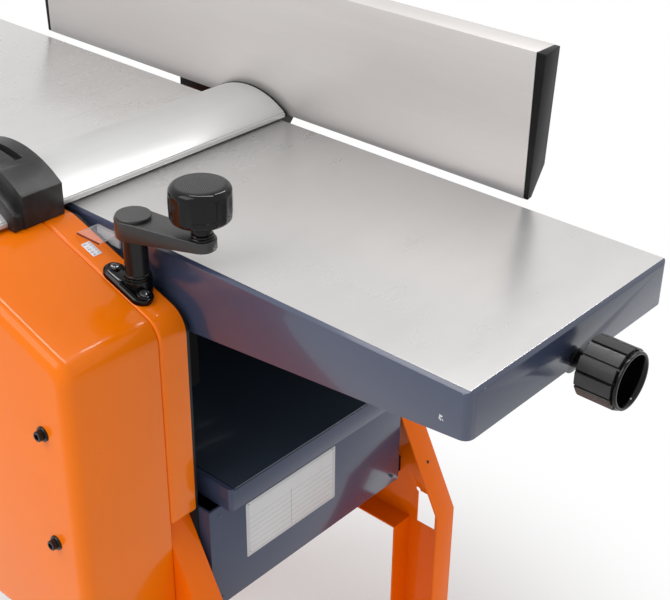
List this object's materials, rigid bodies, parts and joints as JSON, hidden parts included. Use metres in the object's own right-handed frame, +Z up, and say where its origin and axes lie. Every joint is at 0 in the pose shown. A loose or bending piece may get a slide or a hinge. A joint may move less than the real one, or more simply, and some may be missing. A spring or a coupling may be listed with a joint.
{
  "type": "combination planer thicknesser",
  "caption": "Bench-height planer thicknesser on a pressed sheet stand, with tilting fence, bridge guard, rising thicknessing bed, lift crank and swinging dust hood.",
  "frame": {"origin": "on the floor, midway between the four floor bolts, under the cutterblock", "axes": "+X towards the free end of the infeed table, +Y towards the fence, +Z up"},
  "size_m": [1.062, 0.682, 1.012],
  "materials": {
    "orange_paint": "glossy powder coat",
    "blue_paint": "glossy enamel",
    "black_enamel": "satin enamel",
    "machined_steel": "machined",
    "ground_iron": "ground top, painted sides",
    "guard_aluminium": "brushed, anodised",
    "fence_aluminium": "anodised",
    "black_plastic": "moulded",
    "gloss_black": "moulded",
    "clear_plastic": "clear acrylic with a red line",
    "plate_white": "printed film",
    "foot_rubber": "moulded",
    "roller_rubber": "moulded",
    "nut_brass": "turned",
    "bed_sheet": "satin",
    "button_green": "moulded",
    "button_red": "moulded"
  },
  "bodies": {
    "machine": {"base_box": "blue_paint", "side_plate_front": "black_enamel", "side_plate_rear": "black_enamel", "side_housing_front": "orange_paint", "side_housing_rear": "orange_paint", "side_cover": "orange_paint", "cover_screws": "black_plastic", "stand_frame_front": "orange_paint", "stand_frame_rear": "orange_paint", "stand_rails": "black_enamel", "stand_feet": "foot_rubber", "frame_bolts": "machined_steel", "outfeed_table": "ground_iron", "table_brackets": "ground_iron", "head_bars": "black_enamel", "bearing_blocks": "ground_iron", "cutter_bearings": "black_enamel", "column_sleeve": "black_enamel", "crank_flange": "black_plastic", "crank_flange_screws": "machined_steel", "label_plates": "plate_white", "fence_base": "black_enamel", "motor": "black_enamel", "drive_belt": "foot_rubber", "drive_chains": "machined_steel", "switch_box": "black_plastic", "cable_gland": "black_plastic", "hood_hinge": "machined_steel"},
    "infeed": {"infeed_table": "ground_iron", "table_runners": "ground_iron", "depth_pointer": "clear_plastic"},
    "depth_adjuster": {"depth_knob": "black_plastic", "depth_screw": "machined_steel"},
    "nut": {"depth_nut": "nut_brass"},
    "cutter": {"cutterblock": "machined_steel", "cutter_knives": "machined_steel", "gib_bars": "machined_steel", "block_pulley": "black_enamel"},
    "rotor": {"motor_rotor": "black_enamel"},
    "front_roller": {"infeed_roller": "machined_steel"},
    "back_roller": {"outfeed_roller": "roller_rubber"},
    "fingers": {"kickback_fingers": "machined_steel"},
    "bed": {"bed_top": "bed_sheet", "bed_frame": "blue_paint", "bed_column": "machined_steel", "lift_screw": "machined_steel"},
    "bed_nut": {"lift_nut": "nut_brass"},
    "crank": {"crank_shaft": "black_enamel", "crank_arm": "black_plastic"},
    "knob": {"crank_knob": "gloss_black"},
    "holder": {"guard_holder": "gloss_black"},
    "guard": {"guard_bridge": "guard_aluminium"},
    "guard_clamp": {"guard_lock_knob": "black_plastic"},
    "carriage": {"fence_slide_plate": "machined_steel"},
    "fence_body": {"fence": "fence_aluminium", "fence_caps": "black_plastic"},
    "fence_clamp": {"fence_lock_lever": "black_plastic"},
    "hood": {"extraction_hood": "black_plastic"},
    "start": {"on_button": "button_green"},
    "stop": {"off_button": "button_red"}
  },
  "joints": [
    {"name": "infeed_slide", "type": "slide", "parent": "machine", "child": "infeed", "axis": [0.9806, 0, -0.196], "range_m": [0, 0.015]},
    {"name": "depth_knob_turn", "type": "hinge", "parent": "infeed", "child": "depth_adjuster", "pos_m": [0.5, 0, 0.836], "axis": [1, 0, 0], "range_deg": [0, 1060]},
    {"name": "depth_nut_drop", "type": "slide", "parent": "machine", "child": "nut", "axis": [0, 0, -1], "range_m": [0, 0.003]},
    {"name": "cutter_spin", "type": "hinge", "parent": "machine", "child": "cutter", "pos_m": [0, 0, 0.839], "axis": [0, 1, 0], "continuous": true},
    {"name": "motor_spin", "type": "hinge", "parent": "machine", "child": "rotor", "pos_m": [-0.15, -0.1, 0.548], "axis": [0, 1, 0], "continuous": true},
    {"name": "infeed_roller_spin", "type": "hinge", "parent": "machine", "child": "front_roller", "pos_m": [-0.058, 0, 0.821], "axis": [0, -1, 0], "continuous": true},
    {"name": "outfeed_roller_spin", "type": "hinge", "parent": "machine", "child": "back_roller", "pos_m": [0.058, 0, 0.821], "axis": [0, -1, 0], "continuous": true},
    {"name": "kickback_swing", "type": "hinge", "parent": "machine", "child": "fingers", "pos_m": [-0.087, 0, 0.828], "axis": [0, -1, 0], "range_deg": [0, 20]},
    {"name": "bed_lift", "type": "slide", "parent": "machine", "child": "bed", "axis": [0, 0, 1], "range_m": [0, 0.164]},
    {"name": "lift_nut_turn", "type": "hinge", "parent": "machine", "child": "bed_nut", "pos_m": [0.075, 0, 0.48], "axis": [0, 0, -1], "range_deg": [0, 14760]},
    {"name": "crank_turn", "type": "hinge", "parent": "machine", "child": "crank", "pos_m": [0.1663, -0.159, 0.87], "axis": [0, 0, -1], "range_deg": [0, 23616]},
    {"name": "crank_knob_spin", "type": "hinge", "parent": "crank", "child": "knob", "pos_m": [0.22599, -0.13704, 0.92], "axis": [0, 0, 1], "continuous": true},
    {"name": "guard_lift", "type": "slide", "parent": "machine", "child": "holder", "axis": [0, 0, 1], "range_m": [0, 0.05]},
    {"name": "guard_slide", "type": "slide", "parent": "holder", "child": "guard", "axis": [0, -1, 0], "range_m": [0, 0.12]},
    {"name": "guard_clamp_turn", "type": "hinge", "parent": "holder", "child": "guard_clamp", "pos_m": [-0.075, -0.181, 0.888], "axis": [-1, 0, 0], "range_deg": [0, 360]},
    {"name": "fence_slide", "type": "slide", "parent": "machine", "child": "carriage", "axis": [0, -1, 0], "range_m": [0, 0.12]},
    {"name": "fence_tilt", "type": "hinge", "parent": "carriage", "child": "fence_body", "pos_m": [0, 0.156, 0.88], "axis": [-1, 0, 0], "range_deg": [0, 45]},
    {"name": "fence_clamp_turn", "type": "hinge", "parent": "machine", "child": "fence_clamp", "pos_m": [0, 0.26, 0.86], "axis": [0, 0, 1], "range_deg": [0, 90]},
    {"name": "hood_swing", "type": "hinge", "parent": "machine", "child": "hood", "pos_m": [-0.24, 0, 0.578], "axis": [0, -1, 0], "range_deg": [0, 90]},
    {"name": "on_button_press", "type": "slide", "parent": "machine", "child": "start", "axis": [0, 1, 0], "range_m": [0, 0.003], "stiffness_N_per_m": 300, "springref_m": -0.001},
    {"name": "off_button_press", "type": "slide", "parent": "machine", "child": "stop", "axis": [0, 1, 0], "range_m": [0, 0.003], "stiffness_N_per_m": 300, "springref_m": -0.001}
  ],
  "couplings": [
    {"joint": "depth_knob_turn", "follows": "infeed_slide", "rad_per_m": 1232.3},
    {"joint": "depth_nut_drop", "follows": "infeed_slide", "ratio": 0.19595},
    {"joint": "motor_spin", "follows": "cutter_spin", "ratio": 0.52632},
    {"joint": "infeed_roller_spin", "follows": "cutter_spin", "ratio": 0.0125},
    {"joint": "outfeed_roller_spin", "follows": "cutter_spin", "ratio": 0.0125},
    {"joint": "lift_nut_turn", "follows": "bed_lift", "rad_per_m": 1570.8},
    {"joint": "crank_turn", "follows": "bed_lift", "rad_per_m": 2513.3},
    {"joint": "guard_slide", "follows": "fence_slide", "ratio": 1}
  ]
}
